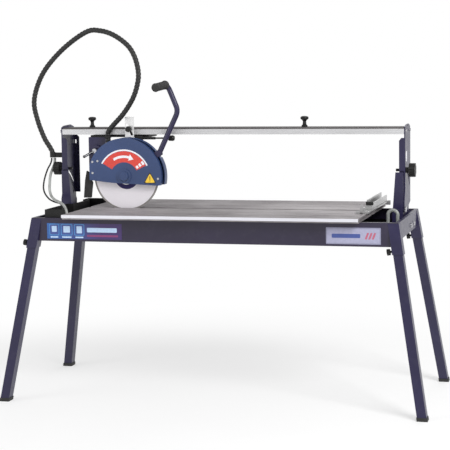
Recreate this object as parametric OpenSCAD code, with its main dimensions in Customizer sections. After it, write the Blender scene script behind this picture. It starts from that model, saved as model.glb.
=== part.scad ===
// Wet tile saw: a stand on four clamped legs, a water tray, a grooved aluminium table and an
// overhead rail bridge that carries a 250 mm saw head. Origin: on the floor under the
// middle of the stand. +X runs along the rail, +Y to the rear, +Z up.

/* [Frame] */
// Length of the stand's frame
frame_l = 1320; // [1200:10:1360]
// Depth of the stand's frame
frame_w = 494; // [470:2:520]
// Height of the frame's top edge above the floor
frame_h = 655; // [630:5:680]
// Height of the long front and rear panels
panel_h = 82; // [70:1:95]
// Height of the short end panels
end_h = 62; // [55:1:70]
// Steel sheet thickness
sheet = 2.5; // [2:0.5:3]

/* [Legs] */
// Width of a leg tube along the rail
leg_x = 32; // [28:1:34]
// Depth of a leg tube
leg_y = 36; // [32:1:38]
// How far a foot stands outside the frame's end
spread_x = 90; // [70:5:100]
// How far a foot stands outside the frame's front or rear
spread_y = 67; // [60:1:75]

/* [Table] */
// Length of the two table extrusions
table_l = 1060; // [1000:10:1070]
// Thickness of the table extrusions
table_t = 16; // [16:1:18]
// Front edge of the table, as a distance from the blade's plane
table_front_y = 290; // [280:5:300]
// Rear edge of the table, as a distance from the blade's plane
table_rear_y = 330; // [300:5:332]
// Half the width of the slot that the blade runs in
slot_half = 14; // [12:1:16]

/* [Saw head] */
// Blade diameter
blade_d = 250; // [230:5:250]
// Blade thickness
blade_t = 2.4; // [2:0.1:3]
// Outer radius of the blade guard
guard_r = 142; // [140:1:143]
// Radius of the motor housing
motor_r = 52; // [48:1:54]

/* [Bridge] */
// Distance between the outer faces of the two upright arms
bridge_l = 1288; // [1280:2:1292]
// Depth of the guide rail
rail_w = 110; // [106:2:114]
// Height of the guide rail
rail_h = 24; // [24:1:26]
// Height of the tilt clamp's bolt above the bevel hinge
clamp_up = 137; // [135:1:139]

/* [Fit] */
// Radial clearance of a turning shaft in its bore
run_gap = 0.05; // [0.02:0.01:0.1]

/* [Hidden] */
$fn = 48;

eps = 1;                                  // how far a cutting solid runs past what it cuts
hf = frame_l / 2;
wf = frame_w / 2;
front_flange = 18;
end_flange = 11;

foot_x = hf + spread_x;
foot_y = wf + spread_y;
lean_x = foot_x - (hf - 19);              // the leg's sideways run over the frame's height
lean_y = foot_y - (wf - 21);
leg_len = norm([lean_x, lean_y, frame_h]);
leg_wall = 2;
socket_wall = 2.5;
socket_gap = 0.3;
socket_bottom = frame_h - panel_h - 25;
cap_wall = 2;

table_z = frame_h + table_t;
blade_r = blade_d / 2;
cut_depth = 10;                           // how far the lowered blade dips into the slot
hub = [-382, 0, table_z + blade_r - cut_depth];

pivot_y = 20;                             // the bevel hinge, just above the table
pivot_z = table_z + 4;
arm_out = bridge_l / 2;
arm_t = 4;
arm_in = arm_out - arm_t;
rail_y = 24;
rail_z = 939;
arm_depth = 130;
wall = 3;
rail_mid = rail_y + rail_w / 2;
rail_slot = 50;
lip_top = rail_z + wall;
roller_r = 8.5;
roller_z = lip_top + roller_r + 0.2;
roller_x = [-500, -340];
port_y = [rail_y + 7, rail_y + rail_w - 7];
port_z = rail_z + 12;

web_out = arm_in - 1;                     // the fixed bracket's outer face
web_in = web_out - 3;
bracket_y = 4;
bracket_top = 806;
clamp_y = 40;
clamp_z = pivot_z + clamp_up;
clamp_angle = atan2(clamp_up, clamp_y - pivot_y);
clamp_r = norm([clamp_up, clamp_y - pivot_y]);
tilt_limit = 45;

plunge = [-505, 880];                     // x and z of the head's hinge
stud = [-369, 960];                       // x and z of the depth stud
lock_y = 17;
lock_z = 926;
stop_x = [-540, 272];

tray_x = 617;
tray_y = 226;
tray_floor = 585;
tray_rim = 617;
collar_top = 683;
collar_x = -540;

// Centrelines of the free hoses and the cable
sleeve_path = [
    [-455, 11, 937], [-454, 11, 947], [-434, 0, 970], [-385, -15, 1016], [-345, -24, 1070],
    [-325, -27, 1120], [-320, -25, 1165], [-335, -16, 1220], [-365, -8, 1265],
    [-420, 0, 1303], [-475, 10, 1320], [-530, 18, 1318], [-615, 28, 1268], [-690, 35, 1200],
    [-735, 42, 1135], [-758, 46, 1060], [-747, 50, 990], [-724, 54, 925], [-703, 55, 890],
    [-691, 55, 866], [-690, 55, 852]
];
cable_path = [
    [-697, 54, 850], [-697, 54, 842], [-701, 50, 827], [-704, 30, 810], [-704, 6, 788],
    [-703, -14, 765], [-699, -30, 742], [-688, -42, 722], [-664, -60, 704],
    [-635, -80, 696], [-606, -98, 691], [-590, -120, 675], [-588, -146, 655], [-590, -165, 642]
];
water_path = [
    [-686, 58, 850], [-686, 58, 842], [-687, 57, 829], [-688, 42, 813], [-687, 14, 790],
    [-680, -14, 762], [-674, -32, 738], [-660, -52, 716], [-632, -85, 704],
    [-600, -120, 699], [-573, -152, 691], [-555, -176, 677], [-548, -187, 660], [-548, -190, 643]
];

steel_blue = [0.17, 0.16, 0.30];
guard_blue = [0.20, 0.27, 0.47];
bright = [0.78, 0.78, 0.80];
plastic_black = [0.09, 0.09, 0.09];

// ---------- shared shapes ----------

module corners() {
    for (sx = [-1, 1], sy = [-1, 1])
        translate([sx * foot_x, sy * foot_y, 0])
            rotate([asin(sy * lean_y / leg_len), -sx * atan(lean_x / frame_h), 0])
                children();
}

module slab(z0, z1) {
    translate([-900, -500, z0]) cube([1800, 1000, z1 - z0]);
}

module leg_bars(x, y, grow = 0) {
    corners() translate([-x / 2 - grow, -y / 2 - grow, -50])
        cube([x + 2 * grow, y + 2 * grow, leg_len + 100]);
}

socket_x = leg_x + 2 * (socket_gap + socket_wall);
socket_y = leg_y + 2 * (socket_gap + socket_wall);

// A cylinder along X, from x0 to x1
module rod_x(r, x0, x1, y, z) {
    translate([x0, y, z]) rotate([0, 90, 0]) cylinder(r = r, h = x1 - x0);
}

// A cylinder along Y, from y0 to y1
module rod_y(r, y0, y1, x, z) {
    translate([x, y0, z]) rotate([-90, 0, 0]) cylinder(r = r, h = y1 - y0);
}

// An outline drawn as (y, z) and given a thickness along X
module plate_x(x0, x1) {
    translate([x0, 0, 0]) rotate([90, 0, 90]) linear_extrude(x1 - x0) children();
}

// An outline drawn as (x, z) and given a thickness along Y
module plate_y(y0, y1) {
    translate([0, y1, 0]) rotate([90, 0, 0]) linear_extrude(y1 - y0) children();
}

module both_ends() {
    children();
    mirror([1, 0, 0]) children();
}

// A fluted clamping knob along X
module fluted_knob(r, x0, x1, y, z, flutes = 8) {
    difference() {
        rod_x(r, x0, x1, y, z);
        for (i = [0:flutes - 1])
            rod_x(r * 0.17, x0 - eps, x1 + eps,
                  y + (r + 1) * cos(i * 360 / flutes), z + (r + 1) * sin(i * 360 / flutes));
    }
}

// A tube swept along a path: rings of points joined by quads
function unit(v) = v / norm(v);
function lead(p, i) = unit(p[min(i + 1, len(p) - 1)] - p[max(i - 1, 0)]);
function side(t) = unit(cross(t, abs(t[1]) < 0.9 ? [0, 1, 0] : [1, 0, 0]));
function ring(c, t, r, n) =
    let (a = side(t), b = cross(t, a))
    [for (k = [0:n - 1]) c + r * (cos(360 * k / n) * a + sin(360 * k / n) * b)];
function spline_point(p, i, s) =
    let (a = p[max(i - 1, 0)], b = p[i], c = p[i + 1], d = p[min(i + 2, len(p) - 1)])
    0.5 * (2 * b + (c - a) * s + (2 * a - 5 * b + 4 * c - d) * s * s
           + (3 * b - 3 * c + d - a) * s * s * s);
function smooth(p, m) =
    concat([for (i = [0:len(p) - 2], j = [0:m - 1]) spline_point(p, i, j / m)], [p[len(p) - 1]]);

module swept_tube(path, r, n, m) {
    q = smooth(path, m);
    k = len(q);
    points = [for (i = [0:k - 1]) each ring(q[i], lead(q, i), r, n)];
    sides = [for (i = [0:k - 2], j = [0:n - 1])
        [i * n + j, i * n + (j + 1) % n, (i + 1) * n + (j + 1) % n, (i + 1) * n + j]];
    ends = [[for (j = [n - 1:-1:0]) j], [for (j = [0:n - 1]) (k - 1) * n + j]];
    polyhedron(points, concat(sides, ends), convexity = 6);
}

// ---------- stand ----------

module long_panel(s) {
    difference() {
        mirror([0, s > 0 ? 1 : 0, 0]) {
            translate([-hf, -wf, frame_h - panel_h]) cube([frame_l, sheet, panel_h]);
            translate([-hf, -wf, frame_h - sheet]) cube([frame_l, front_flange, sheet]);
            translate([-hf + 60, -wf, frame_h - panel_h])
                cube([frame_l - 120, 12, sheet]);
        }
        intersection() {
            leg_bars(socket_x, socket_y, 0.2);
            slab(0, frame_h - sheet);
        }
    }
}

module front_panel() {
    color(steel_blue) long_panel(-1);
}

module rear_panel() {
    color(steel_blue) long_panel(1);
}

module end_panels() {
    reach = wf - sheet - 0.1;
    color(steel_blue) both_ends() difference() {
        union() {
            translate([hf - sheet, -reach, frame_h - end_h]) cube([sheet, 2 * reach, end_h - sheet]);
            translate([hf - end_flange, -wf + front_flange + 0.1, frame_h - sheet])
                cube([end_flange, 2 * (wf - front_flange - 0.1), sheet]);
        }
        intersection() {
            leg_bars(socket_x, socket_y, 0.2);
            slab(0, frame_h - sheet);
        }
        for (y = foot_bolts) rod_x(4.2, hf - 10, hf + eps, y, foot_bolt_z);
    }
}

module leg_sockets() {
    color(steel_blue) intersection() {
        difference() {
            leg_bars(socket_x, socket_y);
            leg_bars(leg_x, leg_y, socket_gap);
        }
        slab(socket_bottom, frame_h - sheet - 0.3);
    }
}

module legs() {
    color(steel_blue) intersection() {
        difference() {
            leg_bars(leg_x, leg_y);
            leg_bars(leg_x - 2 * leg_wall, leg_y - 2 * leg_wall);
        }
        slab(5, frame_h - 20);
    }
}

module foot_caps() {
    color(plastic_black) difference() {
        intersection() {
            leg_bars(leg_x, leg_y, cap_wall);
            slab(0, 12);
        }
        intersection() {
            leg_bars(leg_x, leg_y, 0.05);
            slab(5, 40);
        }
    }
}

// Star screws on the left side of each socket that clamp the legs
module leg_screws() {
    up = (socket_bottom + 12) / cos(atan(lean_x / frame_h)) / cos(asin(lean_y / leg_len));
    color(plastic_black)
        for (sx = [-1, 1], sy = [-1, 1])
            translate([sx * foot_x, sy * foot_y, 0])
                rotate([asin(sy * lean_y / leg_len), -sx * atan(lean_x / frame_h), 0])
                    mirror([1, 0, 0]) {
                        rod_x(4, socket_x / 2 + 0.1, socket_x / 2 + 8, 0, up);
                        fluted_knob(11, socket_x / 2 + 8, socket_x / 2 + 19, 0, up, 6);
                    }
}

module cross_supports() {
    w = 30;
    h = 35;
    color("dimgray") for (x = [-420, 0, 420])
        difference() {
            translate([x - w / 2, -wf + sheet + 0.2, frame_h - sheet - h])
                cube([w, 2 * (wf - sheet - 0.2), h]);
            translate([x - w / 2 + wall, -wf, frame_h - sheet - h - eps])
                cube([w - 2 * wall, frame_w, h - wall + eps]);
            translate([x - w, -26, frame_h - sheet - 24]) cube([2 * w, 64, 40]);
        }
}

module tray_plan(inset) {
    x = tray_x - inset;
    y = tray_y - inset;
    nx = 594 - inset;
    n0 = bracket_y - 10 - inset;
    n1 = rail_y + arm_depth + 10 + inset;
    polygon([
        [-x, -y], [x, -y], [x, n0], [nx, n0], [nx, n1], [x, n1], [x, y],
        [-x, y], [-x, n1], [-nx, n1], [-nx, n0], [-x, n0]
    ]);
}

module water_tray() {
    color(plastic_black) difference() {
        union() {
            translate([0, 0, tray_floor]) linear_extrude(tray_rim - tray_floor) tray_plan(0);
            intersection() {
                translate([0, 0, tray_floor]) linear_extrude(collar_top - tray_floor) tray_plan(0);
                translate([-700, -400, 0]) cube([700 + collar_x, 800, 800]);
            }
        }
        translate([0, 0, tray_floor + wall]) linear_extrude(200) tray_plan(wall);
        translate([drain_x, 0, tray_floor - eps]) cylinder(r = 10.2, h = 10);
    }
}
drain_x = 480;

// The drain plug and the overflow pipe that hooks over the tray's end wall
module tray_fittings() {
    pipe_x = tray_x - 1.5;
    pipe_y = -80;
    bend = 17;
    bend_z = 664;
    color("gray") {
        translate([drain_x, 0, tray_floor - 8]) cylinder(r = 15, h = 7.9);
        translate([drain_x, 0, tray_floor - 1]) cylinder(r = 10, h = 9);
        translate([pipe_x, pipe_y, bend_z]) rotate([90, 0, 0])
            rotate_extrude(angle = 180) translate([bend, 0]) circle(r = 6);
        for (s = [-1, 1])
            translate([pipe_x + s * bend, pipe_y, 596]) cylinder(r = 6, h = bend_z - 596);
    }
}

module pump() {
    base_z = tray_floor + wall + 0.1;
    color(plastic_black) {
        difference() {
            translate([-604, -214, base_z]) cube([66, 64, 42]);
            for (y = [-206:10:-160]) translate([-605, y, base_z + 6]) cube([4, 4, 26]);
        }
        translate([-548, -190, base_z + 42]) cylinder(r = 6, h = 12);
        translate([-590, -165, base_z + 42]) cylinder(r1 = 6, r2 = 4, h = 11);
    }
}

// ---------- table ----------

// Grooved top, a lip along the front and open chambers inside
module plank_profile(y0, y1, lip_at) {
    w = y1 - y0;
    cells = 8;
    cell = w / cells;
    t_slots = [0.30, 0.62];
    z0 = frame_h;
    difference() {
        translate([y0, z0]) square([w, table_t]);
        for (i = [0:cells - 1])
            translate([y0 + i * cell + 1.6, z0 + 3]) square([cell - 3.2, table_t - 9]);
        for (i = [1:3 * cells - 1])
            translate([y0 + i * cell / 3 - 1, z0 + table_t - 1.2]) square([2, 2]);
        for (f = t_slots)
            translate([y0 + f * w, 0]) {
                translate([-3, z0 + 9]) square([6, 20]);
                translate([-6, z0 + 8]) square([12, 5]);
            }
        if (lip_at < 0) translate([y0 - eps, z0 - eps]) square([9 + eps, 5 + eps]);
        if (lip_at > 0) translate([y1 - 9, z0 - eps]) square([9 + eps, 5 + eps]);
    }
}

module table_front() {
    color(bright) plate_x(-table_l / 2, table_l / 2)
        plank_profile(-table_front_y, -slot_half, -1);
}

module table_rear() {
    color(bright) plate_x(-table_l / 2, table_l / 2)
        plank_profile(slot_half, table_rear_y, 1);
}

// ---------- uprights ----------

foot_bolts = [50, 120];
foot_bolt_z = 615;

module bracket_right() {
    inner_top = web_out - 27;
    inner_low = web_out - 38;
    lean = atan((inner_top - inner_low) / (bracket_top - frame_h));
    foot_z = frame_h - end_h + 4;
    difference() {
        union() {
            plate_x(web_in, web_out) difference() {
                polygon([
                    [bracket_y, foot_z], [150, foot_z], [150, 690], [108, 742],
                    [54, 795], [clamp_y + 12, clamp_z + 12], [clamp_y - 11, clamp_z + 12],
                    [clamp_y - 11, bracket_top], [bracket_y, bracket_top]
                ]);
                translate([92, 660]) square([26, 64]);
            }
            plate_y(bracket_y, bracket_y + 3) polygon([
                [web_in, foot_z], [inner_low, foot_z], [inner_low, frame_h],
                [inner_top, bracket_top], [web_in, bracket_top]
            ]);
            plate_y(clamp_y - 11, clamp_y - 8) polygon([
                [web_in, bracket_top - 20], [web_in - 14, bracket_top - 12],
                [web_in - 14, clamp_z + 8], [web_in, clamp_z + 8]
            ]);
            translate([inner_low + 1, 0, frame_h]) rotate([0, lean, 0])
                plate_x(0, 2.5) polygon([
                    [bracket_y + 1, 4], [bracket_y + 58, 4], [bracket_y + 1, bracket_top - frame_h - 4]
                ]);
        }
        rod_x(6 + run_gap, web_in - eps, web_out + eps, pivot_y, pivot_z);
        rod_x(5 + run_gap, web_in - eps, web_out + eps, clamp_y, clamp_z);
        for (y = foot_bolts) rod_x(4.2, web_in - eps, web_out + eps, y, foot_bolt_z);
    }
}

module side_brackets() {
    color(steel_blue) both_ends() bracket_right();
}

// Hinge bolts of the bridge, and the bolts and spacers that hold the brackets
module bracket_bolts() {
    color("silver") both_ends() {
        rod_x(6, web_in - 0.1, arm_out + 0.3, pivot_y, pivot_z);
        rod_x(10, web_in - 8, web_in - 0.1, pivot_y, pivot_z);
        rod_x(10, arm_out + 0.3, arm_out + 4.5, pivot_y, pivot_z);
        for (y = foot_bolts) {
            rod_x(4, web_in - 0.1, hf + 0.1, y, foot_bolt_z);
            rod_x(8, web_in - 7, web_in - 0.1, y, foot_bolt_z);
            rod_x(8, hf + 0.1, hf + 5, y, foot_bolt_z);
            rod_x(8, web_out + 0.1, hf - sheet - 0.1, y, foot_bolt_z);
        }
    }
}

module label_plates() {
    color("lightsteelblue") {
        translate([-601, -wf - 0.7, 581]) cube([281, 0.6, 56]);
        translate([412, -wf - 0.7, 580]) cube([188, 0.6, 58]);
    }
}

// An arc-shaped hole round the point (cy, cz)
module arc_slot(r, half, a0, a1) {
    steps = 24;
    polygon(concat(
        [for (i = [0:steps]) let (a = a0 + (a1 - a0) * i / steps) (r + half) * [cos(a), sin(a)]],
        [for (i = [steps:-1:0]) let (a = a0 + (a1 - a0) * i / steps) (r - half) * [cos(a), sin(a)]]
    ));
    for (a = [a0, a1]) translate(r * [cos(a), sin(a)]) circle(r = half);
}

module arm_right() {
    rear = rail_y + arm_depth;
    rail_top = rail_z + rail_h;
    flange = 18;
    difference() {
        union() {
            plate_x(arm_in, arm_out) difference() {
                union() {
                    polygon([
                        [8, pivot_z], [8, 700], [rail_y, 735], [rail_y, rail_top + 2],
                        [rail_y + 24, rail_top + 8], [rear - 40, rail_top + 10],
                        [rear - 8, rail_top + 2], [rear, rail_top - 8], [rear, 692],
                        [60, pivot_z - 8], [pivot_y, pivot_z - 12]
                    ]);
                    translate([pivot_y, pivot_z]) circle(r = 12);
                }
                translate([pivot_y, pivot_z])
                    arc_slot(clamp_r, 5.4, clamp_angle - tilt_limit - 0.5, clamp_angle + 0.5);
                translate([rail_mid, rail_top - 6 + 11]) circle(r = 4);
            }
            plate_y(rail_y, rail_y + 3) polygon([
                [arm_in, bracket_top + 2], [arm_in - flange, bracket_top + 2], [arm_in - flange, 916],
                [arm_in - flange + 8, 926], [arm_in, 926]
            ]);
            plate_y(rear - 3, rear) difference() {
                polygon([
                    [arm_in, 714], [arm_in - flange, 714], [arm_in - flange, 924],
                    [arm_in - flange + 9, 934], [arm_in, 934]
                ]);
                translate([arm_in - 7, 900]) square([5, 14]);
            }
        }
        rod_x(6 + run_gap, arm_in - eps, arm_out + eps, pivot_y, pivot_z);
        for (y = port_y) rod_x(2.7, arm_in - eps, arm_out + eps, y, port_z);
    }
}

module right_arm() {
    color(steel_blue) arm_right();
}

module left_arm() {
    color(steel_blue) mirror([1, 0, 0]) arm_right();
}

module rail_profile() {
    inner_w = rail_w - 2 * wall;
    difference() {
        union() {
            difference() {
                union() {
                    translate([rail_y, rail_z]) square([rail_w, rail_h - 4]);
                    translate([rail_y + 6, rail_z]) square([rail_w - 12, rail_h]);
                }
                translate([rail_y + wall, rail_z + wall]) square([inner_w, rail_h - 4 - 2 * wall + 1]);
                translate([rail_y + 9, rail_z + wall]) square([rail_w - 18, rail_h - 2 * wall]);
            }
            for (y = port_y) translate([y, port_z]) circle(r = 4.2);
        }
        for (y = port_y) translate([y, port_z]) circle(r = 2.5);
        translate([rail_mid - rail_slot / 2, rail_z - eps]) square([rail_slot, wall + 2 * eps]);
    }
}

module guide_rail() {
    color(bright) difference() {
        plate_x(-arm_in + 0.2, arm_in - 0.2) rail_profile();
        for (x = stop_x)
            translate([x, rail_mid, rail_z + rail_h - 8]) cylinder(r = 4 + run_gap, h = 20);
    }
}

module rail_screws() {
    color("silver") both_ends() for (y = port_y) {
        rod_x(2.45, arm_in - 24, arm_out, y, port_z);
        rod_x(5, arm_out + 0.1, arm_out + 5, y, port_z);
    }
}

module hose_clip() {
    end = sleeve_path[len(sleeve_path) - 1];
    color(plastic_black) difference() {
        union() {
            translate([end[0], end[1], end[2]]) cylinder(r = 13, h = 18);
            translate([end[0] + 4, end[1] - 6, end[2]]) cube([-arm_out - end[0] - 4.1, 12, 18]);
        }
        translate([end[0], end[1], end[2] - eps]) cylinder(r = 10, h = 20);
    }
}

// ---------- knobs that turn ----------

module clamp_knob() {
    knob_x = arm_out + 12;
    rod_x(5, web_in - 27, knob_x, clamp_y, clamp_z);
    rod_x(10, arm_out + 0.4, knob_x, clamp_y, clamp_z);
    fluted_knob(24.5, knob_x, knob_x + 22, clamp_y, clamp_z);
}

module right_clamp_knob() {
    color(plastic_black) clamp_knob();
}

module left_clamp_knob() {
    color(plastic_black) mirror([1, 0, 0]) clamp_knob();
}

module stop_knob(x) {
    top = rail_z + rail_h + 0.3;
    color(plastic_black) translate([x, rail_mid, top]) {
        translate([0, 0, -wall - 0.2]) cylinder(r = 4, h = 5);
        rotate_extrude() polygon([
            [0, 0], [11, 0], [11, 5], [7, 9], [6, 20], [9, 25], [14, 28], [15, 33],
            [13, 37], [7, 39], [0, 39.5]
        ]);
    }
}

module left_stop_knob() {
    stop_knob(stop_x[0]);
}

module right_stop_knob() {
    stop_knob(stop_x[1]);
}

// ---------- carriage ----------

module carriage_beam() {
    x0 = -530;
    x1 = -303;
    color(plastic_black) difference() {
        union() {
            translate([x0, 30, 929]) cube([x1 - x0, 98, 7]);
            translate([x0 + 12, rail_mid - 19, 935]) cube([x1 - x0 - 24, 38, 12]);
            translate([x0 + 12, rail_mid - 21, 946]) cube([x1 - x0 - 24, 42, 11]);
            translate([stud[0] - 8, 12.5, 929.5]) cube([16, 20, 6]);
            translate([stud[0] - 8, 12.5, 929.5]) cube([16, 4, 39]);
        }
        for (x = roller_x)
            rod_y(4 + run_gap, rail_mid - 40, rail_mid + 40, x, roller_z);
        rod_y(4 + run_gap, 0, 17, stud[0], stud[1]);
    }
}

module carriage_plate() {
    x0 = -537;
    color(steel_blue) difference() {
        union() {
            plate_y(26, 30) polygon([
                [x0, 776], [x0 + 6, 770], [-470, 770], [-470, 928.8], [x0, 928.8]
            ]);
            translate([x0, 30, 780]) cube([3, 56, 148.8]);
            translate([x0, 29, 925.8]) cube([67, 60, 3]);
        }
        rod_y(8 + run_gap, 20, 40, plunge[0], plunge[1]);
    }
}

module plunge_pin() {
    color("silver") {
        rod_y(8, -3, 31, plunge[0], plunge[1]);
        rod_y(13, 30.1, 37, plunge[0], plunge[1]);
        difference() {
            rod_y(13, 22.2, 25.8, plunge[0], plunge[1]);
            rod_y(8, 20, 28, plunge[0], plunge[1]);
        }
    }
}

module lock_body() {
    color(plastic_black) difference() {
        union() {
            translate([-352, 12, 918]) cube([30, 10, 17]);
            translate([-352, 22, 929.2]) cube([30, 7.8, 5.8]);
            rod_x(5, -322, -274, lock_y, lock_z);
        }
        rod_x(3 + run_gap, -330, -270, lock_y, lock_z);
    }
}

module lock_knob() {
    color(plastic_black) {
        rod_x(3, -328, -228, lock_y, lock_z);
        translate([-232, lock_y, lock_z]) rotate([0, 90, 0]) rotate_extrude()
            polygon([[0, 0], [5, 0], [6, 6], [10, 12], [10.5, 26], [8, 31], [0, 32]]);
    }
}

module roller_pair(x) {
    color("silver") rod_y(4, rail_mid - 42, rail_mid + 42, x, roller_z);
    color("dimgray") for (s = [-1, 1])
        rod_y(roller_r, rail_mid + s * 35.5 - 6, rail_mid + s * 35.5 + 6, x, roller_z);
}

module left_rollers() {
    roller_pair(roller_x[0]);
}

module right_rollers() {
    roller_pair(roller_x[1]);
}

module depth_knob() {
    color(plastic_black) {
        rod_y(4, -8, 18, stud[0], stud[1]);
        difference() {
            rod_y(11, -14, 0.5, stud[0], stud[1]);
            for (i = [0:7])
                rod_y(1.8, -15, 2, stud[0] + 11.5 * cos(45 * i), stud[1] + 11.5 * sin(45 * i));
        }
        rod_y(7, 6, 12, stud[0], stud[1]);
    }
}

module plunge_lever() {
    color("silver") difference() {
        union() {
            rod_y(9.5, -2, 12, plunge[0], plunge[1]);
            translate([plunge[0], 3, plunge[1]]) rotate([35, -122, 0]) cylinder(r = 4.5, h = 46);
            translate([plunge[0], 3, plunge[1]]) rotate([35, -122, 0]) translate([0, 0, 46])
                sphere(r = 5.5);
        }
        rod_y(8 + run_gap, -4, 20, plunge[0], plunge[1]);
    }
}

// ---------- saw head ----------

// The guard's outline round the spindle; grow < 0 gives the space inside it
module guard_outline(grow, open_below) {
    low = open_below ? -200 : 0;
    intersection() {
        circle(r = guard_r + grow, $fn = 96);
        polygon([
            [-135, 160], [-135, -12 + low], [-48, -22 + low],
            [128, -31 + low], [160, -28 + low], [160, 160]
        ]);
    }
}

// The part of an outline that is right of x and below z, where the rear shell is deeper
module deep_part(x, z) {
    intersection() {
        children();
        translate([x, z - 400]) square([200, 400]);
    }
}

module rear_outline(grow, open_below) {
    guard_outline(grow, open_below);
    translate([9, 2]) guard_outline(grow, open_below);
}

module at_hub(y0, y1) {
    translate([hub[0], 0, hub[2]]) plate_y(y0, y1) children();
}

module guard_front() {
    color(guard_blue) difference() {
        union() {
            at_hub(-28, -8) guard_outline(0, false);
            at_hub(-31, -28) translate([0, boss_z]) circle(r = 27, $fn = 64);
            at_hub(-35, -31) translate([0, boss_z]) circle(r = 17, $fn = 64);
        }
        at_hub(-25.5, 0) guard_outline(-2.5, true);
        at_hub(-33, -20) circle(r = 16);
        for (p = guard_screw_at) rod_y(2.2, -30, -20, hub[0] + p[0], hub[2] + p[1]);
    }
}
boss_z = 3;
guard_screw_at = [[130, -6], [-122, 55], [-102, 58], [-122, 14]];

module guard_rear() {
    color(guard_blue) difference() {
        union() {
            at_hub(-7.8, 10) rear_outline(0, false);
            at_hub(8, 20) deep_part(66, 70) rear_outline(0, false);
        }
        at_hub(-9, 7.5) rear_outline(-2.5, true);
        at_hub(-9, 17.5) deep_part(68.5, 67.5) rear_outline(-2.5, true);
        at_hub(0, 20) circle(r = 16);
    }
}

module guard_screws() {
    color("silver") for (p = guard_screw_at) {
        rod_y(2, -28, -21, hub[0] + p[0], hub[2] + p[1]);
        rod_y(4, -30, -28.1, hub[0] + p[0], hub[2] + p[1]);
    }
}

module head_arm() {
    run = [hub[0] - plunge[0], hub[2] - plunge[1]];
    n = 22 * [-run[1], run[0]] / norm(run);
    color(steel_blue) difference() {
        union() {
            plate_y(14, 22) union() {
                translate(plunge) circle(r = 20);
                translate([hub[0], hub[2]]) circle(r = 46);
                polygon([plunge + n * 0.9, plunge - n * 0.9,
                         plunge + run - 2 * n, plunge + run + 2 * n]);
            }
            for (a = [30, 150, 270])
                rod_y(6, 10.1, 14, hub[0] + 36 * cos(a), hub[2] + 36 * sin(a));
            translate([sleeve_path[0][0] - 1, 19.4, 862]) cylinder(r = 9, h = 33);
        }
        rod_y(8 + run_gap, 10, 30, plunge[0], plunge[1]);
        rod_y(22, 10, 30, hub[0], hub[2]);
    }
}

motor_end = 158;

module motor_housing() {
    color(guard_blue) difference() {
        union() {
            at_hub(22.2, motor_end) circle(r = motor_r, $fn = 72);
            at_hub(22.2, 32) circle(r = motor_r + 3, $fn = 72);
        }
        at_hub(36, motor_end + eps) circle(r = motor_r - 3, $fn = 72);
        at_hub(20, 40) circle(r = 17.5);
        for (i = [0:11], y = [110, 126, 142])
            translate([hub[0], y, hub[2]]) rotate([0, 30 * i, 0])
                translate([-3, 0, motor_r - 6]) cube([6, 8, 10]);
    }
}

module motor_cap() {
    color(plastic_black) difference() {
        union() {
            at_hub(motor_end + 0.2, motor_end + 6) circle(r = motor_r, $fn = 72);
            at_hub(motor_end + 6, motor_end + 14) circle(r = 26, $fn = 48);
        }
        at_hub(motor_end - 1, motor_end + 10) circle(r = 16);
        for (i = [0:9])
            translate([hub[0], motor_end - 2, hub[2]]) rotate([0, 36 * i, 0])
                translate([-2.5, 0, 30]) cube([5, 12, 14]);
    }
}

module stator() {
    color([0.72, 0.38, 0.18]) difference() {
        at_hub(62, 104) circle(r = motor_r - 3.3, $fn = 72);
        at_hub(60, 106) circle(r = 30, $fn = 48);
        for (i = [0:11])
            at_hub(60, 106) rotate(30 * i) translate([37, 0]) circle(r = 4, $fn = 24);
    }
}

module bearing(y0, r_out) {
    at_hub(y0, y0 + 9) difference() {
        circle(r = r_out);
        circle(r = 8 + run_gap);
    }
}

module bearings() {
    color("silver") {
        bearing(25, 17.4);
        bearing(motor_end + 0.5, 15.9);
    }
}

switch_at = [-329, 62, 782];

module switch_box() {
    size = [42, 58, 48];
    color(plastic_black) difference() {
        translate(switch_at) cube(size);
        translate(switch_at + [3, 3, 3]) cube(size - [6, 6, 6]);
        for (y = button_y) rod_x(8.3, switch_at[0] + 30, switch_at[0] + 60, y, button_z);
    }
}
button_y = [switch_at[1] + 17, switch_at[1] + 41];
button_z = switch_at[2] + 24;

module button(y) {
    x = switch_at[0] + 42;
    rod_x(8, x - 5, x + 5, y, button_z);
    rod_x(9.5, x - 9, x - 5, y, button_z);
}

module start_button() {
    color("green") button(button_y[0]);
}

module stop_button() {
    color("red") button(button_y[1]);
}

// Points of the bent handle; the grip sits on its last stretch
handle_top = [-214, -16, 1122];
grip_run = [-15, -100, -10];
grip_start = handle_top + 0.15 * grip_run;
handle_path = [[-252, -5, 873], [-177, -8, 1026], handle_top, grip_start];
handle_r = 9.5;

module bar_between(a, b, r) {
    d = b - a;
    translate(a) rotate([0, acos(d[2] / norm(d)), atan2(d[1], d[0])]) cylinder(r = r, h = norm(d));
}

module handle_tube() {
    color(steel_blue) {
        difference() {
            union() {
                for (i = [0:2]) bar_between(handle_path[i], handle_path[i + 1], handle_r);
                for (i = [1:2]) translate(handle_path[i]) sphere(r = handle_r + 0.4);
                translate([hub[0], 0, hub[2]]) rotate([0, 57, 0])
                    translate([-11, -14, guard_r]) cube([22, 18, 14]);
            }
            at_hub(-30, 30) circle(r = guard_r + 0.2, $fn = 96);
            translate([9, 0, 2]) at_hub(-30, 30) circle(r = guard_r + 0.2, $fn = 96);
        }
    }
}

module grip() {
    d = 0.85 * grip_run;
    color(plastic_black) translate(grip_start) rotate([0, acos(d[2] / norm(d)), atan2(d[1], d[0])])
        difference() {
            cylinder(r = 15, h = norm(d));
            for (i = [0:9]) rotate(36 * i) translate([16, 0, -eps]) cylinder(r = 2.4, h = 200);
        }
}

module splash_flap() {
    color(plastic_black) plate_y(-12, 2) polygon([
        [-534, 806], [-517.2, 790], [-517.2, 770], [-513, 764], [-520, 707], [-547, 707], [-541, 770]
    ]);
}

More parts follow.
